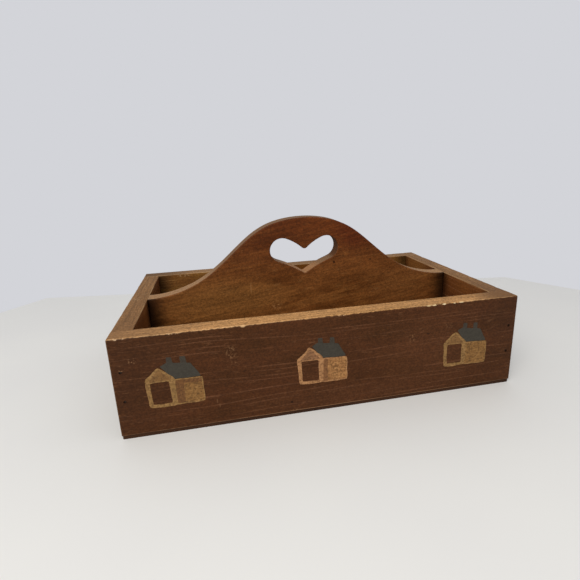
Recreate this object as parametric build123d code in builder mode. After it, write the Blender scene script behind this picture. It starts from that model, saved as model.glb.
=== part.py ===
from build123d import *
import os

os.makedirs("parts", exist_ok=True)

# An open wooden caddy. Two long boards are nailed over the ends of two short ones, a thin bottom
# panel is nailed on underneath, and an upright board down the middle divides the box and rises to
# a rounded handle with a heart-shaped finger hole.
# Millimetres, +Z up, the front at -Y, the origin under the middle of the box.

# Box
length = 381.0
width = 225.0
board_thickness = 18.5
board_height = 91.0
arris_radius = 0.8

# Bottom panel
bottom_thickness = 3.2
bottom_inset = 0.5
bottom_corner_radius = 1.5

# Handle divider
divider_thickness = 18.5
crown_rise = 76.8
foot_flat = 2.0
crown_edge_radius = 1.2

# Heart finger hole
heart_below_crown = 21.6
heart_lobe_radius = 13.4
heart_lobe_spacing = 50.0
heart_lobe_start_angle = 112.0
heart_lobe_turn_angle = 182.0
heart_notch_drop = 1.3
heart_tip_drop = 27.9
heart_notch_radius = 4.0
heart_tip_radius = 2.5
heart_edge_radius = 0.8

# Finishing nails: through the long boards into the ends, and through the ends into the divider
nail_length = 38.0
nail_shank_radius = 0.9
nail_head_radius = 1.3
nail_head_height = 1.0
nail_head_taper = 0.8
nail_point_length = 3.0
nail_set_depth = 1.2
corner_nail_inset = 7.3
nail_below_rim = 30.6
nail_pitch = 27.4

# Brads: through the bottom panel into the lower edges of the boards
brad_length = 19.0
brad_shank_radius = 0.7
brad_head_radius = 1.6
brad_head_height = 0.5
brad_head_taper = 0.4
brad_point_length = 2.0
brad_set_depth = 0.2
brad_end_margin = 24.0
brad_pitch = 85.0

# Worked out from the sizes above
rim_height = bottom_thickness + board_height
inner_length = length - 2 * board_thickness
inner_width = width - 2 * board_thickness
crown_height = rim_height + crown_rise
nail_heights = (rim_height - nail_below_rim, rim_height - nail_below_rim - nail_pitch)


def fastener(size, head_top, recess_depth):
    # A half section turned about Z and driven along +Z from a board's surface at Z 0. With the
    # recess over its head it is the hole that the fastener leaves, and without it the fastener.
    total, shank, head, head_height, taper, point = size
    with BuildPart() as turned:
        with BuildSketch(Plane.XZ):
            with BuildLine():
                Polyline(
                    (0, head_top - recess_depth),
                    (head, head_top - recess_depth),
                    (head, head_top + head_height),
                    (shank, head_top + head_height + taper),
                    (shank, head_top + total - point),
                    (0, head_top + total),
                    close=True,
                )
            make_face()
        revolve(axis=Axis.Z)
    return turned.part


nail_size = (
    nail_length, nail_shank_radius, nail_head_radius, nail_head_height, nail_head_taper, nail_point_length,
)
brad_size = (
    brad_length, brad_shank_radius, brad_head_radius, brad_head_height, brad_head_taper, brad_point_length,
)
nail = fastener(nail_size, nail_set_depth, 0)
nail_hole = fastener(nail_size, nail_set_depth, nail_set_depth)
brad = fastener(brad_size, brad_set_depth, 0)
brad_hole = fastener(brad_size, brad_set_depth, brad_set_depth)


def row(span):
    # Evenly spaced places along a board, a margin in from its ends and about a pitch apart.
    run = span - 2 * brad_end_margin
    gaps = max(1, round(run / brad_pitch))
    return [run * i / gaps - run / 2 for i in range(gaps + 1)]


# Where each fastener goes in, as planes on the surface whose Z points the way it is driven
sides = {"left": -1, "right": 1}
faces = {"front": -1, "back": 1}
corner_planes = {
    (face, side): [
        Plane(
            origin=(sides[side] * (length / 2 - corner_nail_inset), faces[face] * width / 2, height),
            z_dir=(0, -faces[face], 0),
        )
        for height in nail_heights
    ]
    for face in faces
    for side in sides
}
divider_planes = {
    side: [
        Plane(origin=(sides[side] * length / 2, 0, height), z_dir=(-sides[side], 0, 0))
        for height in nail_heights
    ]
    for side in sides
}
brad_planes = {
    **{
        face: [
            Plane(origin=(x, faces[face] * (width - board_thickness) / 2, 0))
            for x in row(length)
        ]
        for face in faces
    },
    **{
        side: [
            Plane(origin=(sides[side] * (length - board_thickness) / 2, y, 0))
            for y in row(inner_width)
        ]
        for side in sides
    },
    "divider": [Plane(origin=(x, 0, 0)) for x in row(inner_length)],
}

# Front and back boards, the full length of the box
for face, toward in faces.items():
    with BuildPart() as long_board:
        with BuildSketch(Plane.XY.offset(bottom_thickness)):
            with Locations((0, toward * (width - board_thickness) / 2)):
                Rectangle(length, board_thickness)
        extrude(amount=board_height)
        show_face = long_board.faces().sort_by(Axis.Y)[0 if toward < 0 else -1]
        top_ends = long_board.edges().filter_by(Axis.Y).group_by(Axis.Z)[-1]
        fillet(show_face.edges() + top_ends, arris_radius)
        with Locations(corner_planes[face, "left"] + corner_planes[face, "right"]):
            add(nail_hole, mode=Mode.SUBTRACT)
        with Locations(brad_planes[face]):
            add(brad_hole, mode=Mode.SUBTRACT)
    long_board.part.label = f"{face}_board"
    export_step(long_board.part, f"parts/{face}_board.step")

# Left and right ends, between the long boards
for side, toward in sides.items():
    with BuildPart() as end_board:
        with BuildSketch(Plane.XY.offset(bottom_thickness)):
            with Locations((toward * (length - board_thickness) / 2, 0)):
                Rectangle(board_thickness, inner_width)
        extrude(amount=board_height)
        show_face = end_board.faces().sort_by(Axis.X)[0 if toward < 0 else -1]
        fillet(show_face.edges().filter_by(Axis.Y), arris_radius)
        with Locations(corner_planes["front", side] + corner_planes["back", side] + divider_planes[side]):
            add(nail_hole, mode=Mode.SUBTRACT)
        with Locations(brad_planes[side]):
            add(brad_hole, mode=Mode.SUBTRACT)
    end_board.part.label = f"{side}_end"
    export_step(end_board.part, f"parts/{side}_end.step")

# Bottom panel, nailed on underneath and a little short of the box all round
with BuildPart() as bottom_panel:
    with BuildSketch():
        RectangleRounded(length - 2 * bottom_inset, width - 2 * bottom_inset, bottom_corner_radius)
    extrude(amount=bottom_thickness)
    for planes in brad_planes.values():
        with Locations(planes):
            add(brad_hole, mode=Mode.SUBTRACT)
bottom_panel.part.label = "bottom_panel"
export_step(bottom_panel.part, "parts/bottom_panel.step")

# Outline of the handle from an end board to the crown, as shares of the half span and of the rise
crown_outline = ((1.0, 0.0), (0.676, 0.195), (0.4735, 0.535), (0.27, 0.875), (0.0, 1.0))
half_span = inner_length / 2 - foot_flat
sweep_points = [(-half_span * run, rim_height + crown_rise * rise) for run, rise in crown_outline]

# Right half of the heart. The lobe turns clockwise over its top, and a flatter arc carries each
# end of it on to the notch and to the tip.
lobe_height = crown_height - heart_below_crown - heart_lobe_radius
lobe_centre = (heart_lobe_spacing / 2, lobe_height)
heart_notch = (0, lobe_height - heart_notch_drop)
heart_tip = (0, lobe_height - heart_tip_drop)

# Divider and handle in one board, standing on the bottom panel between the ends
with BuildPart() as handle_divider:
    with BuildSketch(Plane.XZ.offset(divider_thickness / 2)):
        with BuildLine() as half_outline:
            sweep_line = Spline(*sweep_points, tangents=((1, 0), (1, 0)), tangent_scalars=(1, 1))
            Polyline(
                sweep_line @ 0,
                (-inner_length / 2, rim_height),
                (-inner_length / 2, bottom_thickness),
                (0, bottom_thickness),
            )
            mirror(half_outline.line, about=Plane.YZ)
        make_face()
    extrude(amount=-divider_thickness)
    with BuildSketch(Plane.XZ.offset(divider_thickness / 2)) as heart:
        with BuildLine() as heart_line:
            lobe = CenterArc(lobe_centre, heart_lobe_radius, heart_lobe_start_angle, -heart_lobe_turn_angle)
            TangentArc(lobe @ 0, heart_notch, tangent=-(lobe % 0))
            TangentArc(lobe @ 1, heart_tip, tangent=lobe % 1)
            mirror(heart_line.line, about=Plane.YZ)
        make_face()
        fillet(heart.vertices().sort_by(Axis.Y)[0], heart_tip_radius)
        notch_corner = heart.vertices().sort_by(lambda corner: abs(corner.X))[0]
        fillet(notch_corner, heart_notch_radius)
    extrude(amount=-divider_thickness, mode=Mode.SUBTRACT)
    fillet(handle_divider.edges().filter_by(GeomType.CIRCLE), heart_edge_radius)
    crown_rims = handle_divider.edges().filter_by(GeomType.BSPLINE).sort_by(SortBy.LENGTH)[-2:]
    fillet(crown_rims, crown_edge_radius)
    with Locations(divider_planes["left"] + divider_planes["right"]):
        add(nail_hole, mode=Mode.SUBTRACT)
    with Locations(brad_planes["divider"]):
        add(brad_hole, mode=Mode.SUBTRACT)
handle_divider.part.label = "handle_divider"
export_step(handle_divider.part, "parts/handle_divider.step")

# Finishing nails, a pair at each corner and at each end of the divider
for (face, side), planes in corner_planes.items():
    with BuildPart() as corner_nails:
        with Locations(planes):
            add(nail)
    corner_nails.part.label = f"{face}_{side}_corner_nails"
    export_step(corner_nails.part, f"parts/{face}_{side}_corner_nails.step")

for side, planes in divider_planes.items():
    with BuildPart() as divider_nails:
        with Locations(planes):
            add(nail)
    divider_nails.part.label = f"{side}_divider_nails"
    export_step(divider_nails.part, f"parts/{side}_divider_nails.step")

# Brads, a row under each board
for board, planes in brad_planes.items():
    with BuildPart() as bottom_brads:
        with Locations(planes):
            add(brad)
    bottom_brads.part.label = f"{board}_bottom_brads"
    export_step(bottom_brads.part, f"parts/{board}_bottom_brads.step")
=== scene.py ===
import math
import random
from functools import partial
from types import SimpleNamespace

import bmesh
import bpy
from mathutils import Matrix, Vector, noise


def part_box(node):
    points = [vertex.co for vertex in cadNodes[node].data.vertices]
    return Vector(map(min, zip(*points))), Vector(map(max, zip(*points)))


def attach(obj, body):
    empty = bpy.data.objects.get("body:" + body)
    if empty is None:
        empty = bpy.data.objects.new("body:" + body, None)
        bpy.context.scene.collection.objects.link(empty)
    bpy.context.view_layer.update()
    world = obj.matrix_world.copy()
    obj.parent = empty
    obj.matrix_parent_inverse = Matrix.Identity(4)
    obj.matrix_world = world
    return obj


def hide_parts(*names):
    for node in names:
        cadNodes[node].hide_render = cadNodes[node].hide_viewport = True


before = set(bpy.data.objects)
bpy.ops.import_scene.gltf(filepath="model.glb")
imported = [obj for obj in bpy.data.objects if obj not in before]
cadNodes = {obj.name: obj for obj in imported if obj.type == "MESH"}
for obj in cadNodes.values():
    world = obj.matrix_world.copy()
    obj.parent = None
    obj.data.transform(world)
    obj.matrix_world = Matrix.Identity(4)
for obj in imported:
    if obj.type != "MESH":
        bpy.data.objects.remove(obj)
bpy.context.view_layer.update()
mm = 0.001
print("frame loaded:", len(cadNodes), "nodes")


def hexColour(text):
    # sRGB hex to the linear values that shaders and lamps take
    parts = [int(text[i:i + 2], 16) / 255 for i in (0, 2, 4)]
    return [p / 12.92 if p <= 0.04045 else ((p + 0.055) / 1.055) ** 2.4 for p in parts] + [1.0]


def addNode(tree, kind, feeds=(), out=0, **settings):
    # adds a node, sets it up and feeds its inputs with sockets or plain values, then gives back one
    # output, or all of them where out is None
    node = tree.nodes.new("ShaderNode" + kind)
    for name, value in settings.items():
        setattr(node, name, value)
    for socket, value in feeds.items() if isinstance(feeds, dict) else enumerate(feeds):
        if isinstance(value, bpy.types.NodeSocket):
            tree.links.new(value, node.inputs[socket])
        else:
            node.inputs[socket].default_value = value
    return node.outputs if out is None else node.outputs[out]


# Settings that many nodes and pieces share. A Mix of colours takes its share at input 0 and the colours
# at 6 and 7, and gives the result at output 2.
smooth = {"interpolation_type": "SMOOTHSTEP"}
blend = {"data_type": "RGBA"}
tint = {"data_type": "RGBA", "blend_type": "MULTIPLY"}
noiseSpan = (0.3, 0.7)  # most of a noise lies between these
noiseMiddle = 0.5
sharpAngle = math.radians(38)  # edges that turn more than this stay crisp


def newMaterial(name):
    material = bpy.data.materials.new(name)
    material.use_nodes = True
    return material, material.node_tree, material.node_tree.nodes["Principled BSDF"]


def newObject(name, mesh):
    piece = bpy.data.objects.new(name, mesh)
    bpy.context.scene.collection.objects.link(piece)
    return piece


def waveAt(spot):
    # smooth noise from 0 to 1
    return noise.noise(spot) * 0.5 + 0.5


def finishedMesh(piece):
    # the mesh with its modifiers worked in, which then takes their place
    bpy.context.view_layer.update()
    shaped = piece.evaluated_get(bpy.context.evaluated_depsgraph_get())
    mesh = bpy.data.meshes.new_from_object(shaped)
    piece.modifiers.clear()
    piece.data = mesh
    return mesh


# Camera where the picture was taken, a hand's height above the table and close to the left
cameraView = {
    "lensMm": 25.27,
    "sensorMm": 36.0,
    "placeMm": (-94.58, -443.14, 223.57),
    "azimuth": 10.989,
    "elevation": 15.526,
    "roll": -2.189,
    "shift": (-0.0114, -0.0167),
    "nearMm": 10,
}


def addCamera(setup):
    azimuth, elevation, roll = (math.radians(setup[key]) for key in ("azimuth", "elevation", "roll"))
    level = math.cos(elevation)
    forward = Vector((math.sin(azimuth) * level, math.cos(azimuth) * level, -math.sin(elevation)))
    right = forward.cross(Vector((0, 0, 1))).normalized()
    turn = Matrix((right, right.cross(forward), -forward)).transposed() @ Matrix.Rotation(roll, 3, "Z")
    camera = bpy.data.objects.new("camera", bpy.data.cameras.new("camera"))
    bpy.context.scene.collection.objects.link(camera)
    camera.data.sensor_width = setup["sensorMm"]
    camera.data.lens = setup["lensMm"]
    camera.data.shift_x, camera.data.shift_y = setup["shift"]
    camera.data.clip_start = setup["nearMm"] * mm
    camera.matrix_world = Matrix.Translation(Vector(setup["placeMm"]) * mm) @ turn.to_4x4()
    bpy.context.scene.camera = camera


addCamera(cameraView)
print("camera set")

# Soft room light: one wide softbox in front, high up and to the left, and pale walls all round
studio = {
    "wall": "d3d4d9",
    "wallLight": 0.8,
    "wallSeen": 1.0,
    "softbox": {"placeMm": (-520, -1200, 1120), "sizeMm": 1400, "watts": 22.0, "tint": "fffaf4"},
}


def addStudio(setup):
    scene = bpy.context.scene
    scene.view_settings.view_transform = "Standard"
    scene.world = bpy.data.worlds.new("paleRoom")
    scene.world.use_nodes = True
    tree = scene.world.node_tree
    add = partial(addNode, tree)
    colour = hexColour(setup["wall"])
    rays = add("LightPath", out=None)
    seen = add("Math", (rays["Is Camera Ray"], rays["Is Glossy Ray"]), operation="MAXIMUM")
    light = add("Background", (colour, setup["wallLight"]))
    wall = add("Background", (colour, setup["wallSeen"]))
    room = add("MixShader", (seen, light, wall))
    tree.links.new(room, tree.nodes["World Output"].inputs["Surface"])
    softbox = setup["softbox"]
    lamp = bpy.data.lights.new("softboxLeft", "AREA")
    lamp.size = softbox["sizeMm"] * mm
    lamp.energy = softbox["watts"]
    lamp.color = hexColour(softbox["tint"])[:3]
    stand = bpy.data.objects.new("softboxLeft", lamp)
    scene.collection.objects.link(stand)
    stand.location = Vector(softbox["placeMm"]) * mm
    stand.rotation_euler = (-stand.location).to_track_quat("-Z", "Y").to_euler()


addStudio(studio)
print("light set")

# White laminate table, cut off where the walls begin behind the caddy
table = {
    "colour": "e8e8e3",
    "cloud": "e2e2df",
    "cloudMm": 140,
    "cloudDetail": 2.0,
    "rough": 0.6,
    "shine": 0.25,
    "halfSpanMm": 2400,
    "farEdges": (  # a point on each and the way that points off the table
        ((-447, 345, 0), (-0.82, 0.575, 0)),
        ((16, 308, 0), (0.164, 0.986, 0)),
        ((485, 179, 0), (0.878, 0.478, 0)),
    ),
}


def tableLaminate(setup):
    # pressed white laminate: a flat pale sheet, faintly clouded, with a soft dull sheen
    material, tree, shader = newMaterial("tableLaminateWhite")
    add = partial(addNode, tree)
    place = add("TexCoord", out="Object")
    feeds = {"Vector": place, "Scale": 1 / (setup["cloudMm"] * mm), "Detail": setup["cloudDetail"]}
    cloud = add("TexNoise", feeds)
    tone = add("Mix", {0: cloud, 6: hexColour(setup["colour"]), 7: hexColour(setup["cloud"])}, 2, **blend)
    tree.links.new(tone, shader.inputs["Base Color"])
    shader.inputs["Roughness"].default_value = setup["rough"]
    shader.inputs["Specular IOR Level"].default_value = setup["shine"]
    return material


def addTable(setup):
    shape = bmesh.new()
    bmesh.ops.create_grid(shape, x_segments=1, y_segments=1, size=setup["halfSpanMm"] * mm)
    for point, away in setup["farEdges"]:
        everything = shape.verts[:] + shape.edges[:] + shape.faces[:]
        bmesh.ops.bisect_plane(
            shape, geom=everything, plane_co=Vector(point) * mm, plane_no=away, clear_outer=True
        )
    mesh = bpy.data.meshes.new("tableTop")
    shape.to_mesh(mesh)
    shape.free()
    mesh.materials.append(tableLaminate(setup))
    newObject("tableTop", mesh)


addTable(table)
print("table set")

# What every board has in common, in millimetres: noises by their size along the grain and across it, and
# their detail. Pores and grit are finer than this in real pine, and are drawn about a millimetre wide so
# that they show.
pine = {
    "noiseMm": {
        "wander": (300, 60, 2.0), "fibre": (30, 1.8, 3.0), "fleck": (9, 1.3, 2.0), "blotch": (75, 24, 3.0),
        "patch": (55, 6, 2.0), "grit": (1.9, 1.6, 2.0), "rag": (3.6, 2.0, 3.0), "pore": (8, 1.5, 2.0),
    },
    "noiseRough": 0.6,
    "shows": {"fleck": (0.60, 0.72), "pore": (0.58, 0.70), "blotch": (0.32, 0.68), "patch": (0.40, 0.60)},
    "seedStepMm": (37, 71),  # from one board's noises to the next board's, and from one noise to the next
    "tilt": 0.0,  # degrees that the grain slopes
    # growth rings, and where in a year's growth the late wood starts, is full, begins to end and has ended
    "ringMm": 6.5, "wanderDepthMm": 26, "unevenYears": 2.2, "unevenScale": 0.45, "unevenDetail": 1.0,
    "lateWood": (0.66, 0.90, 0.92, 1.0),
    # the stain, which changes over to the inside's a little short of the inner face
    "lineStrength": 0.55, "fleck": "68462d", "fleckStrength": 0.35, "poreStrength": 0.12,
    "tone": {"fibre": (0.92, 1.07), "grit": (0.78, 1.22)}, "insideMm": (1.2, 0.6), "patchFrom": 0.2,
    # the dark colour serves both the pores and the painted shade in the corners
    "shadeTowardsTop": (0, 1, "ffffff"), "shadeAndDirt": "170a03",  # white changes nothing
    "endGrain": "20120a", "endGrainMm": (0.9, 0.3), "endGrainShare": 0.35,
    # bare wood on the rim or on the sawn edges
    "bareAt": "rim", "bareTone": {"fibre": (0.88, 1.1), "grit": (0.66, 1.3)}, "bareMottle": 0.45,
    "topMm": (0.25, 0.12), "wornMm": 0.7, "raggedMm": 1.7, "wornFadeMm": 0.35,
    "openEnds": False, "arrisWear": 0.5, "rubMm": (0.1, 1.3), "rubRagMm": 2.6,
    "wornGlintShare": 0.65, "wornGlintMm": (0.3, 1.3), "wornGlintRagMm": 1.6, "sawnMm": (1.5, 0.9), "sawnRagMm": 0.8,
    # marks, and the grit that breaks them up
    "patches": [], "bareMarks": [], "marks": [], "markFrom": 0.45, "markRag": 0.6, "specks": (0.52, 0.64),
    # the surface: dry wood is rougher, and grit and late wood stand up with the fibres
    "rough": 0.52, "fibreSpan": (0.2, 0.8), "fibreRough": (-0.06, 0.08), "dryRough": 0.2,
    "ior": 1.48, "shine": 0.1,
    "relief": {"grit": 0.6, "lateWood": 0.5}, "bumpStrength": 0.4, "bumpMm": 0.35,
}


def woodGrain(add, wood, plank):
    # noises drawn out along the grain
    grain = wood["grain"]
    turn = (0, math.radians(wood["tilt"]), 0)
    turned = add("Mapping", {"Vector": plank.place, "Rotation": turn}, vector_type="TEXTURE")
    boardStep, noiseStep = wood["seedStepMm"]
    plank.noises = {}
    for number, (label, (along, across, detail)) in enumerate(wood["noiseMm"].items()):
        size = [along if axis == grain else across for axis in range(3)]
        shift = [wood["seed"] * boardStep + number * noiseStep] * 3
        drawn = add("Mapping", {"Vector": turned, "Location": shift, "Scale": size}, vector_type="TEXTURE")
        feeds = {"Vector": drawn, "Scale": 1.0, "Detail": detail, "Roughness": wood["noiseRough"]}
        plank.noises[label] = add("TexNoise", feeds)
    plank.shows = {}
    for label, (start, end) in wood["shows"].items():
        plank.shows[label] = add("MapRange", (plank.noises[label], start, end, 0, 1), **smooth)

    # growth rings round a pith outside the board, wandering along its length
    pith = [0 if axis == grain else value for axis, value in enumerate(wood["pithMm"])]
    flat = [0 if axis == grain else 1 for axis in range(3)]
    reach = add("VectorMath", (turned, pith), operation="SUBTRACT")
    reach = add("VectorMath", (reach, flat), operation="MULTIPLY")
    reach = add("VectorMath", (reach,), "Value", operation="LENGTH")
    reach = add("Math", (plank.noises["wander"], wood["wanderDepthMm"], reach), operation="MULTIPLY_ADD")
    years = add("Math", (reach, wood["ringMm"]), operation="DIVIDE")
    feeds = {"W": years, "Scale": wood["unevenScale"], "Detail": wood["unevenDetail"]}
    uneven = add("TexNoise", feeds, noise_dimensions="1D")
    year = add("Math", (uneven, wood["unevenYears"], years), operation="MULTIPLY_ADD")
    year = add("Math", (year,), operation="FRACT")
    start, full, fade, end = wood["lateWood"]
    rise = add("MapRange", (year, start, full, 0, 1), **smooth)
    fall = add("MapRange", (year, fade, end, 1, 0), **smooth)
    plank.lateWood = add("Math", (rise, fall), operation="MULTIPLY")


def outFrom(add, plank, centre, size):
    # 0 at a place on the board and 1 on the edge of an ellipse round it
    away = add("VectorMath", (plank.place, centre), operation="SUBTRACT")
    away = add("VectorMath", (away, size), operation="DIVIDE")
    return add("VectorMath", (away,), "Value", operation="LENGTH")


def stainedFaces(add, wood, plank):
    # the stain, outside and in, with lighter lines of late wood
    lines = add("Math", (plank.lateWood, plank.shows["patch"]), operation="MULTIPLY")
    lines = add("Math", (lines, wood["lineStrength"]), operation="MULTIPLY")
    coats = []
    for colours in wood["stain"]:
        deep, mid, line = (hexColour(colour) for colour in colours)
        coat = add("Mix", {0: plank.shows["blotch"], 6: deep, 7: mid}, 2, **blend)
        coats.append(add("Mix", {0: lines, 6: coat, 7: line}, 2, **blend))
    finish = coats[0]
    plank.within = 1.0
    if "inward" in wood:
        start, end = wood["insideMm"]
        inner = max(corner.dot(Vector(wood["inward"])) for corner in (plank.low, plank.high))
        inward = add("VectorMath", (plank.place, wood["inward"]), "Value", operation="DOT_PRODUCT")
        plank.within = add("MapRange", (inward, inner - start, inner - end, 0, 1), **smooth)
        finish = add("Mix", {0: plank.within, 6: finish, 7: coats[1]}, 2, **blend)
    # patches of stain, and on the front board also painted shade and painted light across the face
    for centre, size, colour, most in wood["patches"]:
        away = outFrom(add, plank, centre, size)
        share = add("MapRange", (away, wood["patchFrom"], 1.0, most, 0), **smooth)
        finish = add("Mix", {0: share, 6: finish, 7: hexColour(colour)}, 2, **blend)
    flecks = add("Math", (plank.shows["fleck"], wood["fleckStrength"]), operation="MULTIPLY")
    finish = add("Mix", {0: flecks, 6: finish, 7: hexColour(wood["fleck"])}, 2, **blend)
    pores = add("Math", (plank.shows["pore"], wood["poreStrength"]), operation="MULTIPLY")
    finish = add("Mix", {0: pores, 6: finish, 7: hexColour(wood["shadeAndDirt"])}, 2, **blend)
    for label, (dark, light) in wood["tone"].items():
        tone = add("MapRange", (plank.noises[label], *noiseSpan, dark, light), **smooth)
        finish = add("Mix", {0: 1.0, 6: finish, 7: tone}, 2, **tint)

    # painted shade: darker and redder towards the grip at the top
    start, end, colour = wood["shadeTowardsTop"]
    share = add("MapRange", (plank.spot[2], start, end, 0, 1), **smooth)
    finish = add("Mix", {0: share, 6: finish, 7: hexColour(colour)}, 2, **tint)

    # end grain takes more stain, and the corners where boards meet are darkened: mostly painted shade,
    # with some grime
    grain = wood["grain"]
    start, end = (plank.half[grain] - inset for inset in wood["endGrainMm"])
    far = add("Math", (plank.spot[grain],), operation="ABSOLUTE")
    share = add("MapRange", (far, start, end, 0, wood["endGrainShare"]), **smooth)
    finish = add("Mix", {0: share, 6: finish, 7: hexColour(wood["endGrain"])}, 2, **blend)
    # painted shade in the corners, mixed towards the same dark colour as the pores
    for axis, start, end, most in wood["cornerShadeAndGrime"]:
        far = add("Math", (plank.spot[axis],), operation="ABSOLUTE")
        share = add("MapRange", (far, start, end, 0, most), **smooth)
        share = add("Math", (share, plank.within), operation="MULTIPLY")
        finish = add("Mix", {0: share, 6: finish, 7: hexColour(wood["shadeAndDirt"])}, 2, **blend)
    return finish


def bareWood(add, wood, plank):
    # dry and tan, with the rings now darker than the wood between them
    dry, ring, cloud = (hexColour(colour) for colour in wood["bare"])
    rings = add("Math", (plank.lateWood, wood["bareMottle"]), operation="MULTIPLY")
    bare = add("Mix", {0: rings, 6: dry, 7: ring}, 2, **blend)
    clouds = add("Math", (plank.shows["blotch"], wood["bareMottle"]), operation="MULTIPLY")
    bare = add("Mix", {0: clouds, 6: bare, 7: cloud}, 2, **blend)
    for label, (dark, light) in wood["bareTone"].items():
        tone = add("MapRange", (plank.noises[label], *noiseSpan, dark, light), **smooth)
        bare = add("Mix", {0: 1.0, 6: bare, 7: tone}, 2, **tint)
    # bare wood made darker along an axis: partly grime, partly painted shade
    for axis, start, end, most, colour in wood["bareShadeAndGrime"]:
        share = add("MapRange", (plank.spot[axis], start, end, 0, most), **smooth)
        bare = add("Mix", {0: share, 6: bare, 7: hexColour(colour)}, 2, **blend)
    for centre, size, colour, most in wood["bareMarks"]:
        away = outFrom(add, plank, centre, size)
        share = add("MapRange", (away, wood["markFrom"], 1.0, most, 0), **smooth)
        bare = add("Mix", {0: share, 6: bare, 7: hexColour(colour)}, 2, **blend)
    return bare


def wornRim(add, wood, plank, rag, bare):
    # bare over the whole rim, and a ragged way down from it
    rim = plank.high.z
    edge = rim - wood["wornMm"]
    start, end = (rim - inset for inset in wood["topMm"])
    ragTop = add("Math", (rag, wood["raggedMm"], plank.spot[2]), operation="MULTIPLY_ADD")
    ragTop = add("MapRange", (ragTop, edge, edge + wood["wornFadeMm"], 0, 1), **smooth)
    top = add("MapRange", (plank.spot[2], start, end, 0, 1), **smooth)

    # the second nearest side of the board's box is how far away its nearest arris is
    grain = wood["grain"]
    inset = add("VectorMath", (plank.place, plank.middle), operation="SUBTRACT")
    inset = add("VectorMath", (inset,), operation="ABSOLUTE")
    inset = add("VectorMath", (plank.half, inset), operation="SUBTRACT")
    inset = add("SeparateXYZ", (inset,), None)
    arris = add("Math", (inset[1 - grain], inset[2]), operation="MAXIMUM")
    nearest = arris
    if wood["openEnds"]:
        other = add("Math", (inset[1 - grain], inset[2]), operation="MINIMUM")
        other = add("Math", (inset[grain], other), operation="MAXIMUM")
        nearest = add("Math", (arris, other), operation="MINIMUM")
    rubbed = add("Math", (rag, -wood["rubRagMm"], nearest), operation="MULTIPLY_ADD")
    rubbed = add("MapRange", (rubbed, *wood["rubMm"], wood["arrisWear"], 0), **smooth)
    outer = add("Math", (1.0, plank.within), operation="SUBTRACT")  # boards meet on the inner side
    rubbed = add("Math", (rubbed, outer), operation="MULTIPLY")
    wear = add("Math", (ragTop, top), operation="MAXIMUM")
    wear = add("Math", (wear, rubbed), operation="MAXIMUM")

    # the arris of the rim catches most rubs and is palest there: partly worn wood, partly a painted
    # highlight along the arris
    pale = add("Math", (rag, wood["wornGlintRagMm"], arris), operation="MULTIPLY_ADD")
    pale = add("MapRange", (pale, *wood["wornGlintMm"], wood["wornGlintShare"], 0), **smooth)
    pale = add("Math", (pale, plank.shows["patch"]), operation="MULTIPLY")
    bare = add("Mix", {0: pale, 6: bare, 7: hexColour(wood["pale"])}, 2, **blend)
    return wear, bare


def stainedPine(name, wood, box):
    # Sawn pine, brushed with walnut stain and rubbed through at the edges. The soft early wood drinks the
    # stain and goes dark, so the late wood shows as thin lighter lines. The bare edges are dry and tan.
    material, tree, shader = newMaterial(name)
    add = partial(addNode, tree)
    low, high = (corner / mm for corner in box)
    plank = SimpleNamespace(low=low, high=high, middle=(low + high) / 2, half=(high - low) / 2)
    plank.place = add("VectorMath", (add("TexCoord", out="Object"), [1 / mm] * 3), operation="MULTIPLY")
    plank.spot = add("SeparateXYZ", (plank.place,), None)
    woodGrain(add, wood, plank)
    finish = stainedFaces(add, wood, plank)
    bare = bareWood(add, wood, plank)
    rag = add("Math", (plank.noises["rag"], noiseMiddle), operation="SUBTRACT")
    if wood["bareAt"] == "rim":
        wear, bare = wornRim(add, wood, plank, rag, bare)
    else:
        # the sawn edges lie between the front and back faces, and their arrises keep some stain
        start, end = (plank.half.y - inset for inset in wood["sawnMm"])
        depth = add("Math", (plank.spot[1],), operation="ABSOLUTE")
        depth = add("Math", (rag, wood["sawnRagMm"], depth), operation="MULTIPLY_ADD")
        wear = add("MapRange", (depth, start, end, 1, 0), **smooth)
    surface = add("Mix", {0: wear, 6: finish, 7: bare}, 2, **blend)

    # rubs, dents and nail pits, whole or broken up into specks
    grit = add("Math", (plank.noises["grit"], noiseMiddle), operation="SUBTRACT")
    specks = add("MapRange", (plank.noises["grit"], *wood["specks"], 0, 1), **smooth)
    for centre, size, colour, most, broken in wood["marks"]:
        away = outFrom(add, plank, centre, size)
        away = add("Math", (grit, wood["markRag"], away), operation="MULTIPLY_ADD")
        share = add("MapRange", (away, wood["markFrom"], 1.0, most, 0), **smooth)
        if broken:
            share = add("Math", (share, specks), operation="MULTIPLY")
        surface = add("Mix", {0: share, 6: surface, 7: hexColour(colour)}, 2, **blend)
    tree.links.new(surface, shader.inputs["Base Color"])

    fibre = plank.noises["fibre"]
    sleek, coarse = (wood["rough"] + change for change in wood["fibreRough"])
    rough = add("MapRange", (fibre, *wood["fibreSpan"], sleek, coarse))
    rough = add("Math", (wear, wood["dryRough"], rough), operation="MULTIPLY_ADD")
    tree.links.new(rough, shader.inputs["Roughness"])
    shader.inputs["IOR"].default_value = wood["ior"]
    shader.inputs["Specular IOR Level"].default_value = wood["shine"]
    height = add("Math", (plank.noises["grit"], wood["relief"]["grit"], fibre), operation="MULTIPLY_ADD")
    height = add("Math", (plank.lateWood, wood["relief"]["lateWood"], height), operation="MULTIPLY_ADD")
    feeds = {"Height": height, "Strength": wood["bumpStrength"], "Distance": wood["bumpMm"] * mm}
    tree.links.new(add("Bump", feeds), shader.inputs["Normal"])
    return material
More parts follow.
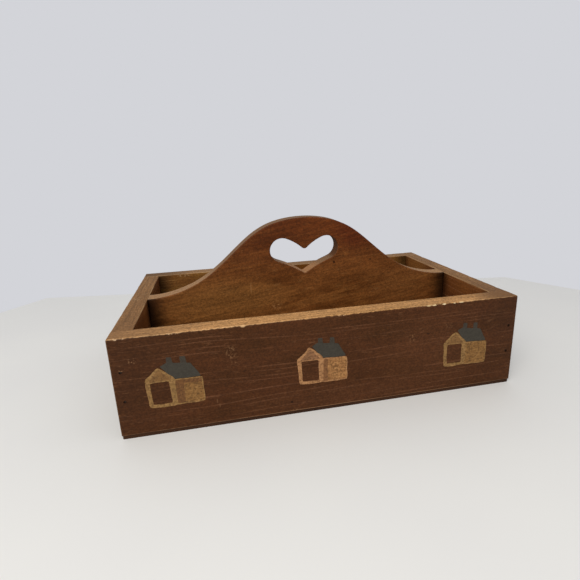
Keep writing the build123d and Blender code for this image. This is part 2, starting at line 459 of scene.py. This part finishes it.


# One dictionary for each board, in millimetres. Its grain runs along X (0) or Y (1). A stain is deep, mid
# and line colour, outside and then inside, and bare wood is its colour, its rings' and its clouds'. Corner
# shade and grime, mostly painted shade, is an axis, from where to where, and how much, and darker bare
# wood, partly grime and partly painted shade, has a colour too. Patches and marks are centre, half size,
# colour and how much, and marks say whether specks break them up.
walnutOutside = ("3d220d", "462712", "68442d")
amberInside = ("6f4720", "92672e", "a57c45")
redInside = ("65381a", "845127", "976642")
dryEndTone = {"fibre": (0.8, 1.16), "grit": (0.66, 1.3)}
cornerNailMm = (-183.2, 183.2)
nailHeightsMm = (63.6, 36.2)
boards = {
    "front_board": {
        "piece": "frontBoard",
        "arrisMm": {
            "top front": 1.3, "top back": 0.8, "top left": 1.0, "top right": 1.0, "front left": 0.9,
            "front right": 0.9, "bottom front": 0.9, "bottom left": 0.5, "bottom right": 0.5,
        },
        "wornArris": ("top", "front"),
        "nailHoles": [(x, -112.5, z) for x in cornerNailMm for z in nailHeightsMm],
        "drive": (0, 1, 0),
        "wood": {
            **pine, "grain": 0, "seed": 4.0, "pithMm": (0, -60, -120), "inward": (0, 1, 0),
            "stain": (walnutOutside, amberInside), "cornerShadeAndGrime": [(0, 150, 171, 0.75)],
            "bare": ("b98a58", "8d6738", "a2784a"), "pale": "d9b384", "openEnds": True, "arrisWear": 0.3,
            "bareTone": {"fibre": (0.76, 1.22), "grit": (0.66, 1.3)},
            # the rim darker towards its ends and the bare wood near the bottom darker: partly grime,
            # partly painted shade
            "bareShadeAndGrime": [
                (0, 128, 178, 0.85, "6a4b30"), (0, -80, -190, 0.6, "6e5036"), (2, 12, 5, 0.85, "7a5640"),
            ],
            # on this face the dark patches at both ends and the lighter one right of the middle are
            # painted shade and painted light
            "patches": [
                ((-190, -112.5, 60), (75, 30, 90), "38200f", 0.55),
                ((95, -112.5, 45), (75, 30, 50), "53311a", 0.4),
                ((190, -112.5, 85), (55, 30, 55), "38200f", 0.5),
                ((10, -112.5, 12), (150, 30, 18), "51301b", 0.4),
            ],
            "marks": [
                ((-91, -112.5, 70), (7, 3, 9), "75563a", 0.6, True),
                ((-88, -112.5, 60), (6, 3, 5), "75563a", 0.45, True),
                ((-106.6, -112.5, 25.2), (0.8, 3, 3.0), "7d5c3e", 0.3, False),
                ((-104.6, -112.5, 20.6), (0.8, 3, 2.6), "7d5c3e", 0.3, False),
                ((-173, -112.5, 73), (5, 3, 4), "7d5c3f", 0.75, True),
                ((-182, -112.5, 66), (4, 3, 3), "8a6747", 0.6, True),
                ((-39.2, -112.5, 13.1), (1.6, 3, 1.4), "1a0c05", 0.9, False),
                ((96.0, -112.5, 65.0), (2.4, 3, 1.0), "1a0c05", 0.8, False),
                ((-80.5, -112.5, 51), (2.6, 3, 0.9), "221006", 0.7, False),
                ((80, -112.5, 63), (5, 3, 6), "785739", 0.6, True),
                ((118, -112.5, 71), (6, 3, 4), "785739", 0.5, True),
                ((-79, -112.5, 93.4), (3, 3, 1.3), "d2ab7c", 0.7, False),
                ((-37, -112.5, 4.2), (5, 3, 1.2), "9a7450", 0.7, True),
                ((-10, -112.3, 3.6), (115, 3, 0.9), "9c7350", 0.55, False),
                ((115, -112.3, 3.6), (70, 3, 0.8), "966d4b", 0.5, False),
                ((-182, -112.0, 93.6), (9, 2, 1.3), "c9ac88", 0.8, True),
                ((-138, -112.0, 93.6), (8, 2, 1.2), "d6b68c", 0.8, True),
                ((10, -112.0, 93.6), (5, 2, 1.2), "d6b68c", 0.7, True),
                ((106, -111.5, 93.8), (13, 2.5, 1.2), "e2c592", 0.85, True),
                ((95.5, -112.2, 93.4), (2.6, 1.0, 0.8), "e4c995", 0.6, False),
                ((101, -112.2, 93.4), (2.8, 1.0, 0.8), "e9d2a3", 0.6, False),
                ((111.5, -112.1, 93.4), (2.0, 1.1, 0.9), "f0deb4", 0.7, False),
                ((122, -112.1, 93.5), (1.6, 1.0, 0.8), "e6cd9d", 0.55, False),
                ((129, -112.0, 93.6), (3.2, 1.0, 0.8), "e9d2a3", 0.6, False),
            ],
        },
    },
    "back_board": {
        "piece": "backBoard",
        "arrisMm": {
            "top back": 1.2, "top front": 0.8, "top left": 1.0, "top right": 1.0, "back left": 0.9,
            "back right": 0.9, "bottom back": 0.9, "bottom left": 0.5, "bottom right": 0.5,
        },
        "wornArris": ("top", "back"),
        "nailHoles": [(x, 112.5, z) for x in cornerNailMm for z in nailHeightsMm],
        "drive": (0, -1, 0),
        "wood": {
            **pine, "grain": 0, "seed": 9.0, "pithMm": (0, 40, -90), "inward": (0, -1, 0),
            "stain": (walnutOutside, amberInside), "cornerShadeAndGrime": [(0, 150, 171, 0.7)],
            "bare": ("94714d", "785a3b", "846649"), "pale": "c7a67c", "openEnds": True,
            "bareShadeAndGrime": [(0, 140, 190, 0.3, "6e5036"), (0, -115, -172, 0.75, "5a4129")],
            "patches": [((10, 94, 80), (70, 4, 40), "824c18", 0.9)],
            "marks": [((-140, 94, 92), (11, 3, 2.5), "b5976f", 0.7, True)],
        },
    },
    "left_end": {
        "piece": "leftEnd",
        "arrisMm": {"top left": 1.2, "top right": 0.8, "bottom left": 0.8},
        "wornArris": ("top", "left"),
        "nailHoles": [(-190.5, 0, z) for z in nailHeightsMm],
        "drive": (1, 0, 0),
        "wood": {
            **pine, "grain": 1, "seed": 15.0, "pithMm": (-150, 0, -110), "inward": (1, 0, 0),
            "stain": (walnutOutside, redInside), "cornerShadeAndGrime": [(1, 78, 94, 0.6), (1, 24, 10, 0.7)],
            "bare": ("896541", "65472a", "795736"), "bareTone": dryEndTone, "pale": "bd9a6e",
            "bareShadeAndGrime": [(1, -60, -94, 0.3, "6e5036")],
            "marks": [
                ((-184, -3, 94.2), (7, 9, 2), "c4a57e", 0.6, True),
                ((-178, 14, 94.2), (5, 4, 2), "b8966c", 0.5, True),
            ],
        },
    },
    "right_end": {
        "piece": "rightEnd",
        "arrisMm": {"top right": 1.2, "top left": 0.8, "bottom right": 0.8},
        "wornArris": ("top", "right"),
        "nailHoles": [(190.5, 0, z) for z in nailHeightsMm],
        "drive": (-1, 0, 0),
        "wood": {
            **pine, "grain": 1, "seed": 22.0, "pithMm": (230, 0, -80), "inward": (-1, 0, 0),
            "stain": (walnutOutside, redInside), "cornerShadeAndGrime": [(1, 78, 94, 0.5), (1, 24, 10, 0.7)],
            "bare": ("8e6a46", "6c4b2d", "7f5d3c"), "bareTone": dryEndTone, "pale": "b18e64",
            "bareShadeAndGrime": [(1, -30, -94, 0.55, "5e422b")],
            "patches": [((172, 58, 84), (6, 48, 40), "96652f", 0.5)],
        },
    },
}
boardShape = {
    "jointMm": 0.2,  # arrises that meet another board
    "easeSteps": 4,
    "cutMm": 2.4,  # between points along the grain
    "rowsMm": (2.2, 5.0),  # extra rows of points beside the arrises
    "wearReachMm": 3.2,
    "wearMm": 0.2,
    "waveMm": 9,
    "chipsPerMetre": 70,
    "chipDepthMm": (0.1, 0.6),
    "chipWidthMm": (1.5, 4.0),
    "holeMm": (1.3, 1.15, 1.25),  # radius at the face and at the floor, and depth
    "holeSides": 14,
    "holeRoughMm": 0.08,
    "pitMark": ((1.8, 1.8, 1.8), "0d0704", 1.0, False),
    "firstSeeds": (1, 31),  # of the wear and of the nail holes
    "sameSpot": 1e-6,  # metres
}
sideNames = (("left", "right"), ("front", "back"), ("bottom", "top"))


def sidesAt(point, low, high):
    # which sides of the board's box a point lies on
    found = set()
    for axis in range(3):
        for limit, side in zip((low, high), sideNames[axis]):
            if abs(point[axis] - limit[axis]) < boardShape["sameSpot"]:
                found.add(side)
    return found


def sawnBoard(piece, board, low, high):
    # a block cut into short lengths, its arrises eased by hand, more where they stand open
    arris = {frozenset(pair.split()): width for pair, width in board["arrisMm"].items()}
    widest = max(arris.values())
    along = board["wood"]["grain"]
    shape = bmesh.new()
    size = Matrix.Diagonal((*(high - low), 1))
    bmesh.ops.create_cube(shape, size=1, matrix=Matrix.Translation((low + high) / 2) @ size)
    weights = shape.edges.layers.float.new("bevel_weight_edge")
    for edge in shape.edges:
        sides = frozenset(sidesAt((edge.verts[0].co + edge.verts[1].co) / 2, low, high))
        edge[weights] = arris.get(sides, boardShape["jointMm"]) / widest
    runs = []
    for edge in shape.edges:
        start, end = edge.verts
        if abs(start.co[along] - end.co[along]) > boardShape["sameSpot"]:
            runs.append(edge)
    cuts = round((high - low)[along] / (boardShape["cutMm"] * mm))
    bmesh.ops.subdivide_edges(shape, edges=runs, cuts=cuts, use_grid_fill=True)
    shape.to_mesh(piece.data)
    shape.free()
    ease = piece.modifiers.new("easedArrises", "BEVEL")
    ease.limit_method = "WEIGHT"
    ease.width = widest * mm
    ease.segments = boardShape["easeSteps"]
    finishedMesh(piece)


def wearArrises(mesh, board, low, high, seed):
    # hand wear and small chips along the open arris, always into the wood
    along = board["wood"]["grain"]
    rng = random.Random(seed)
    length = (high - low)[along]
    chips = []
    for i in range(round(length * boardShape["chipsPerMetre"])):
        chips.append((
            low[along] + rng.random() * length,
            rng.uniform(*boardShape["chipWidthMm"]) * mm,
            rng.uniform(*boardShape["chipDepthMm"]) * rng.random() * mm,
        ))
    worn = bmesh.new()
    worn.from_mesh(mesh)
    for rowMm in boardShape["rowsMm"]:
        for axis in range(3):
            if axis == along:
                continue
            for limit, inward in ((low, 1), (high, -1)):
                everything = worn.verts[:] + worn.edges[:] + worn.faces[:]
                point, normal = Vector((0, 0, 0)), Vector((0, 0, 0))
                point[axis] = limit[axis] + inward * rowMm * mm
                normal[axis] = 1
                bmesh.ops.bisect_plane(worn, geom=everything, plane_co=point, plane_no=normal)
    reach = boardShape["wearReachMm"] * mm
    openSides = []
    for axis in range(3):
        for limit, side, outward in zip((low, high), sideNames[axis], (-1, 1)):
            if side in board["wornArris"]:
                openSides.append((axis, limit[axis], outward))
    for vert in worn.verts:
        far = max(abs(vert.co[axis] - limit) for axis, limit, outward in openSides)
        if far >= reach:
            continue
        share = (1 - far / reach) ** 2
        spot = vert.co[along]
        wave = waveAt((spot / (boardShape["waveMm"] * mm), seed, 0.0))
        depth = wave * boardShape["wearMm"] * mm
        depth += max(d * math.exp(-((spot - c) / w) ** 2) for c, w, d in chips)
        for axis, limit, outward in openSides:
            vert.co[axis] -= outward * depth * share
    worn.to_mesh(mesh)
    worn.free()


def sinkNailHoles(piece, board, seed):
    # the pits that the nail set leaves, punched through the finish
    radius, floorRadius, depth = (value * mm for value in boardShape["holeMm"])
    rough = boardShape["holeRoughMm"]
    rng = random.Random(seed)
    punch = bmesh.new()
    turn = Vector((0, 0, 1)).rotation_difference(Vector(board["drive"])).to_matrix().to_4x4()
    for hole in board["nailHoles"]:
        spun = Matrix.Rotation(rng.random() * math.tau, 4, "Z")
        made = bmesh.ops.create_cone(
            punch, cap_ends=True, segments=boardShape["holeSides"], radius1=radius, radius2=floorRadius,
            depth=2 * depth, matrix=Matrix.Translation(Vector(hole) * mm) @ turn @ spun,
        )
        for vert in made["verts"]:
            vert.co += Vector([rng.uniform(-rough, rough) * mm for i in range(3)])
    tool = newObject("nailPunch", bpy.data.meshes.new("nailPunch"))
    punch.to_mesh(tool.data)
    punch.free()
    cut = piece.modifiers.new("nailHoles", "BOOLEAN")
    cut.operation = "DIFFERENCE"
    cut.solver = "EXACT"
    cut.object = tool
    finishedMesh(piece)
    bpy.data.objects.remove(tool)


for number, (node, board) in enumerate(boards.items()):
    low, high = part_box(node)
    wearSeed, holeSeed = (number + first for first in boardShape["firstSeeds"])
    piece = newObject(board["piece"], bpy.data.meshes.new(board["piece"]))
    sawnBoard(piece, board, low, high)
    wearArrises(piece.data, board, low, high, wearSeed)
    sinkNailHoles(piece, board, holeSeed)
    piece.data.shade_smooth()
    piece.data.set_sharp_from_angle(angle=sharpAngle)
    piece.data.materials.clear()
    wood = board["wood"]
    wood["marks"] = wood["marks"] + [(hole, *boardShape["pitMark"]) for hole in board["nailHoles"]]
    piece.data.materials.append(stainedPine("walnutStainedPine_" + board["piece"], wood, (low, high)))
    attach(piece, "root")
    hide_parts(node)
    print(board["piece"], "done:", len(piece.data.polygons), "faces")

# The divider and handle: one board, its crown and the heart rubbed bare
divider = {
    "mergeMm": 0.002,
    "crownFromMm": 94.0,
    "flatFace": 0.985,  # the front and back faces look this squarely along Y
    "rubMm": 0.22,
    "rubWaveMm": 14,
    "wood": {
        **pine, "grain": 0, "seed": 31.0, "tilt": -8.0, "pithMm": (0, -150, 60), "ringMm": 9.0,
        "wanderDepthMm": 34, "noiseMm": {**pine["noiseMm"], "fibre": (30, 2.4, 3.0)},
        "stain": [("5a3212", "6f421d", "845428")],
        "lineStrength": 0.5, "fleck": "835c34", "fleckStrength": 0.4, "poreStrength": 0.24,
        # the face is tinted darker and redder towards the top: painted shade
        "tone": {"fibre": (0.84, 1.16), "grit": (0.76, 1.24)}, "shadeTowardsTop": (95, 165, "d6bba6"),
        # the corners at the divider's ends are darkened: mostly painted shade
        "endGrain": "24120a", "cornerShadeAndGrime": [(0, 148, 171, 0.9)], "bareAt": "sawn edges", "rough": 0.5,
        "bare": ("a17c56", "805d3e", "8c6a4a"), "bareTone": {"fibre": (0.9, 1.1), "grit": (0.8, 1.2)},
        # the heart's bare walls are darkened: painted shade
        "bareShadeAndGrime": [(2, 98, 135, 0.85, "6f5238")],
        "bareMarks": [
            # the dark one on the heart's right wall is painted shade
            ((38, 0, 134), (13, 60, 17), "55300f", 0.9),
            ((-9, 0, 114), (34, 60, 10), "aa7a4e", 0.75),
        ],
        "patches": [
            ((57, -9.25, 150), (34, 3, 24), "5d2a10", 0.62),
            ((-95, -9.25, 84), (90, 3, 36), "7d5429", 0.5),
            ((115, -9.25, 80), (60, 3, 40), "603a1c", 0.4),
        ],
        "marks": [
            ((-62, -9.25, 96), (0.9, 2, 8), "9a6d42", 0.55, False),
            ((33.7, -9.25, 118.3), (1.6, 2, 1.4), "1d0c04", 0.9, False),
            ((76.9, -9.25, 118.3), (1.7, 2, 1.1), "1d0c04", 0.8, False),
            ((44.4, -9.25, 125.6), (1.9, 2, 1.0), "1d0c04", 0.7, False),
            ((-34, -9.25, 74), (9, 3, 8), "9a7046", 0.6, True),
        ],
    },
}


def handlePiece(setup):
    # the frame's own shape, with its crown and the heart's edge worn a little uneven
    low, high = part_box("handle_divider")
    shape = bmesh.new()
    shape.from_mesh(cadNodes["handle_divider"].data)
    bmesh.ops.remove_doubles(shape, verts=shape.verts[:], dist=setup["mergeMm"] * mm)
    shape.normal_update()
    moves = []
    for vert in shape.verts:
        if abs(vert.normal.y) < setup["flatFace"] and vert.co.z > setup["crownFromMm"] * mm:
            wave = waveAt(vert.co / (setup["rubWaveMm"] * mm))
            moves.append((vert, vert.normal * wave * setup["rubMm"] * mm))
    for vert, move in moves:
        vert.co.x -= move.x
        vert.co.z -= move.z
    mesh = bpy.data.meshes.new("handleDivider")
    shape.to_mesh(mesh)
    shape.free()
    piece = newObject("handleDivider", mesh)
    mesh.shade_smooth()
    mesh.set_sharp_from_angle(angle=sharpAngle)
    even = piece.modifiers.new("evenShading", "WEIGHTED_NORMAL")
    even.keep_sharp = True
    mesh = finishedMesh(piece)
    mesh.materials.clear()
    mesh.materials.append(stainedPine("goldenStainedPine_handleDivider", setup["wood"], (low, high)))
    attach(piece, "root")
    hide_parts("handle_divider")
    print("handleDivider done:", len(mesh.polygons), "faces")


handlePiece(divider)

# Three little houses brushed on the front board: a gable with a bare doorway, a side wall, a roof and
# two chimneys. Millimetres from the lower left corner of the gable.
houses = {
    "frontMm": -112.5,
    "bedMm": 0.05,  # how far the paint reaches into the board
    "sideCuts": 7,
    "softening": 0.25,
    "wobbleMm": 0.45,
    "wobbleWaveMm": 5.0,
    "ridgeMm": 1.1,  # the brush leaves more paint along an outline
    "gable": ((-0.7, 0.4), (-2.1, 27.2), (10.4, 38.1), (22.9, 26.4), (22.4, 0.2)),
    "doorway": ((2.4, 3.4), (2.0, 24.4), (18.1, 24.1), (18.5, 3.2)),
    "peak": ((1.0, 25.3), (10.4, 36.2), (20.2, 25.1)),
    "wash": ((21.4, 0.3), (22.0, 25.4), (46.4, 24.4), (46.3, 0.4)),
    "secondCoat": ((21.4, 1.3), (22.0, 25.2), (45.6, 24.4), (45.5, 1.3)),
    "roof": ((12.3, 38.7), (17.9, 41.4), (37.8, 38.4), (45.2, 24.9), (21.5, 25.6)),
    "chimneys": (
        ((18.0, 38), (18.2, 46.0), (22.6, 45.7), (23.0, 38)),
        ((29.2, 37), (29.5, 45.6), (34.0, 45.1), (34.5, 37)),
    ),
    "filmMm": {
        "chimney": 0.06, "roof": 0.08, "wash": 0.10, "secondCoat": 0.12, "gable": 0.13, "peak": 0.14,
    },
    "places": {
        "leftHouse": {
            "atMm": (-162.8, 26.2), "lean": 1.2, "size": 1.0, "seeds": (2.0, 41.0),
            "coatMm": (8.0, 5.0), "coat": "tan", "wash": "thinTan", "peak": "dullTan",
            "ridge": "thickTan",
        },
        "middleHouse": {
            "atMm": (-30.7, 28.9), "lean": 0.0, "size": 0.98, "seeds": (8.0, 53.0),
            "coatMm": (5.5, 0.8), "coat": "paleTan", "wash": "thinPaleTan", "peak": "rosyTan",
            "ridge": "thickPaleTan",
        },
        "rightHouse": {
            "atMm": (114.8, 27.3), "lean": -0.6, "size": 0.97, "seeds": (13.0, 67.0),
            "coatMm": (1.0, 0.6), "coat": "tan", "wash": "thinTan", "peak": "dullTan",
            "ridge": "thickTan",
        },
    },
    # each paint as brushed on, where it is thin and where it is thick
    "paints": {
        "tan": ("735027", "5b3f1f", "8b6638"),
        "paleTan": ("895e35", "6a4826", "a57848"),
        "dullTan": ("6e4e29", "5a3f21", "7f5c34"),
        "rosyTan": ("765133", "5f4128", "886040"),
        "thinTan": ("613f1f", "53361b", "6e4a27"),
        "thinPaleTan": ("6e492a", "5d3d23", "7d5431"),
        "thickTan": ("7e5f34", "664a28", "906d42"),
        "thickPaleTan": ("946a43", "775232", "a97c52"),
        "slate": ("37332b", "332f27", "3b372e"),
        "thinSlate": ("362f26", "312a22", "3a342b"),
    },
    "strokeMm": (7, 7, 1.6),
    "strokeDetail": 3.0,
    "speckleMm": 1.6,
    "speckleDetail": 2.0,
    "thinSpan": (0.46, 0.66),
    "thickSpan": (0.42, 0.66),
    "rough": 0.8,
    "shine": 0.25,
    "bumpStrength": 0.3,
    "bumpMm": 0.15,
}


def milkPaint(name, colours, setup):
    # Hand-brushed milk paint: chalky and thin, streaked by the bristles, with the stain showing through
    # where it is thinnest.
    material, tree, shader = newMaterial(name)
    add = partial(addNode, tree)
    place = add("TexCoord", out="Object")
    strokes = add("Mapping", {"Vector": place, "Scale": [1 / (size * mm) for size in setup["strokeMm"]]})
    brushed = add("TexNoise", {"Vector": strokes, "Scale": 1.0, "Detail": setup["strokeDetail"]})
    feeds = {"Vector": place, "Scale": 1 / (setup["speckleMm"] * mm), "Detail": setup["speckleDetail"]}
    speckle = add("TexNoise", feeds)
    main, thin, thick = (hexColour(colour) for colour in colours)
    thinShare = add("MapRange", (speckle, *setup["thinSpan"]))
    thickShare = add("MapRange", (brushed, *setup["thickSpan"]))
    tone = add("Mix", {0: thickShare, 6: main, 7: thick}, 2, **blend)
    tone = add("Mix", {0: thinShare, 6: tone, 7: thin}, 2, **blend)
    tree.links.new(tone, shader.inputs["Base Color"])
    shader.inputs["Roughness"].default_value = setup["rough"]
    shader.inputs["Specular IOR Level"].default_value = setup["shine"]
    feeds = {"Height": brushed, "Strength": setup["bumpStrength"], "Distance": setup["bumpMm"] * mm}
    tree.links.new(add("Bump", feeds), shader.inputs["Normal"])
    return material


def brushLoop(shape, corners, house):
    # a closed outline with its corners softened and its sides unsteady
    there = set(shape.verts)
    lean = Matrix.Rotation(math.radians(house["lean"]), 2)
    verts = []
    for corner in corners:
        x, z = (lean @ Vector(corner)) * house["size"] + Vector(house["atMm"])
        verts.append(shape.verts.new((x * mm, houses["frontMm"] * mm, z * mm)))
    edges = [shape.edges.new((verts[i - 1], verts[i])) for i in range(len(verts))]
    bmesh.ops.subdivide_edges(shape, edges=edges, cuts=houses["sideCuts"])
    loop = [vert for vert in shape.verts if vert not in there]
    bmesh.ops.smooth_vert(shape, verts=loop, factor=houses["softening"], use_axis_x=True, use_axis_z=True)
    for vert in loop:
        spot = vert.co / (houses["wobbleWaveMm"] * mm)
        across, up = (noise.noise(spot + Vector((0, seed, 0))) for seed in house["seeds"])
        vert.co.x += across * houses["wobbleMm"] * mm
        vert.co.z += up * houses["wobbleMm"] * mm


def paintFilm(house, film, slots):
    # one brushed shape as a thin closed film, with a ridge of thicker paint round it where it has one
    label, outline, hole, paint, ridge = film
    shape = bmesh.new()
    brushLoop(shape, outline, house)
    if hole:
        brushLoop(shape, hole, house)
    bmesh.ops.triangle_fill(shape, use_beauty=True, use_dissolve=False, edges=shape.edges[:])
    bmesh.ops.recalc_face_normals(shape, faces=shape.faces[:])
    for face in shape.faces:
        face.material_index = slots.setdefault(paint, len(slots))
    if ridge:
        lined = bmesh.ops.inset_region(
            shape, faces=shape.faces[:], thickness=houses["ridgeMm"] * mm, use_boundary=True,
            use_even_offset=True,
        )
        for face in lined["faces"]:
            face.material_index = slots.setdefault(ridge, len(slots))
    raised = bmesh.ops.extrude_face_region(shape, geom=shape.faces[:])
    skin = [v for v in raised["geom"] if isinstance(v, bmesh.types.BMVert)]
    bmesh.ops.translate(shape, verts=skin, vec=(0, -houses["filmMm"][label] * mm, 0))
    under = [v for v in shape.verts if v not in set(skin)]
    bmesh.ops.translate(shape, verts=under, vec=(0, houses["bedMm"] * mm, 0))
    bmesh.ops.recalc_face_normals(shape, faces=shape.faces[:])
    return shape


def paintedHouse(name, house, paints):
    # the second coat on the side wall stops short of the gable and of the roof
    across, down = house["coatMm"]
    inset, drop = Vector((across, 0)), Vector((0, down))
    lowLeft, topLeft, topRight, lowRight = (Vector(corner) for corner in houses["secondCoat"])
    secondCoat = (lowLeft + inset, topLeft + inset - drop, topRight - drop, lowRight)
    films = [("roof", houses["roof"], (), "slate", None)]
    films += [("chimney", corners, (), "thinSlate", None) for corners in houses["chimneys"]]
    films += [
        ("wash", houses["wash"], (), house["wash"], house["ridge"]),
        ("secondCoat", secondCoat, (), house["coat"], None),
        ("gable", houses["gable"], houses["doorway"], house["ridge"], None),
        ("peak", houses["peak"], (), house["peak"], None),
    ]
    slots = {}
    whole = bmesh.new()
    for film in films:
        shape = paintFilm(house, film, slots)
        part = bpy.data.meshes.new("film")
        shape.to_mesh(part)
        shape.free()
        whole.from_mesh(part)
        bpy.data.meshes.remove(part)
    mesh = bpy.data.meshes.new(name)
    whole.to_mesh(mesh)
    whole.free()
    for paint in slots:
        mesh.materials.append(paints[paint])
    piece = newObject(name, mesh)
    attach(piece, "root")
    print(name, "done:", len(mesh.polygons), "faces")


paints = {}
for name, colours in houses["paints"].items():
    paints[name] = milkPaint("milkPaintBrushed_" + name, colours, houses)
for name, house in houses["places"].items():
    paintedHouse(name, house, paints)

# What stays as it came from the frame: the bottom sheet, the nails and the brads
bottomSheet = {
    "colours": ("342013", "452b19", "5c3f28"),
    "edge": "2a180d",
    "edgeShare": 0.5,
    "edgeMm": (189.0, 111.0),
    "edgeFadeMm": 0.7,
    "flakeMm": 2.2,
    "flakeDetail": 4.0,
    "flakes": (0.55, 0.75),
    "flakeShare": 0.6,
    "cloudMm": 45,
    "cloudDetail": 3.0,
    "clouds": (0.35, 0.65),
    "rough": 0.7,
    "shine": 0.1,
    "bumpStrength": 0.3,
    "bumpMm": 0.2,
}
nailWire = {
    "colours": ("2b211b", "463a32"),
    "rustMm": 1.2,
    "rustDetail": 3.0,
    "rust": (0.4, 0.65),
    "metallic": 0.7,
    "rough": 0.55,
}


def pressedHardboard(setup):
    # hardboard pressed from wood pulp and wiped with the same stain: no grain, only matted fibre and
    # clouds, and a darker edge, partly where the cut pulp drank more and partly painted shade
    material, tree, shader = newMaterial("hardboardPressedStained")
    add = partial(addNode, tree)
    place = add("TexCoord", out="Object")
    feeds = {"Vector": place, "Scale": 1 / (setup["flakeMm"] * mm), "Detail": setup["flakeDetail"]}
    felt = add("TexNoise", feeds)
    feeds = {"Vector": place, "Scale": 1 / (setup["cloudMm"] * mm), "Detail": setup["cloudDetail"]}
    cloud = add("TexNoise", feeds)
    deep, mid, pale = (hexColour(colour) for colour in setup["colours"])
    share = add("MapRange", (cloud, *setup["clouds"], 0, 1))
    tone = add("Mix", {0: share, 6: deep, 7: mid}, 2, **blend)
    share = add("MapRange", (felt, *setup["flakes"], 0, setup["flakeShare"]))
    tone = add("Mix", {0: share, 6: tone, 7: pale}, 2, **blend)
    spot = add("SeparateXYZ", (place,), None)
    # darker towards the outer edges: partly stain, partly painted shade
    for axis, start in enumerate(setup["edgeMm"]):
        far = add("Math", (spot[axis],), operation="ABSOLUTE")
        end = start + setup["edgeFadeMm"]
        share = add("MapRange", (far, start * mm, end * mm, 0, setup["edgeShare"]), **smooth)
        tone = add("Mix", {0: share, 6: tone, 7: hexColour(setup["edge"])}, 2, **blend)
    tree.links.new(tone, shader.inputs["Base Color"])
    shader.inputs["Roughness"].default_value = setup["rough"]
    shader.inputs["Specular IOR Level"].default_value = setup["shine"]
    feeds = {"Height": felt, "Strength": setup["bumpStrength"], "Distance": setup["bumpMm"] * mm}
    tree.links.new(add("Bump", feeds), shader.inputs["Normal"])
    return material


def drawnSteel(setup):
    # drawn wire steel gone dull in the wood: grey-brown, with rust in specks
    material, tree, shader = newMaterial("wireSteelDulled")
    add = partial(addNode, tree)
    place = add("TexCoord", out="Object")
    feeds = {"Vector": place, "Scale": 1 / (setup["rustMm"] * mm), "Detail": setup["rustDetail"]}
    rust = add("TexNoise", feeds)
    dark, grey = (hexColour(colour) for colour in setup["colours"])
    share = add("MapRange", (rust, *setup["rust"]))
    tone = add("Mix", {0: share, 6: dark, 7: grey}, 2, **blend)
    tree.links.new(tone, shader.inputs["Base Color"])
    shader.inputs["Metallic"].default_value = setup["metallic"]
    shader.inputs["Roughness"].default_value = setup["rough"]
    return material


hardboard = pressedHardboard(bottomSheet)
steel = drawnSteel(nailWire)
for node, shown in cadNodes.items():
    if node in boards or node == "handle_divider":
        continue
    for slot in shown.material_slots:
        slot.material = hardboard if node == "bottom_panel" else steel
print("bottom sheet, nails and brads finished")
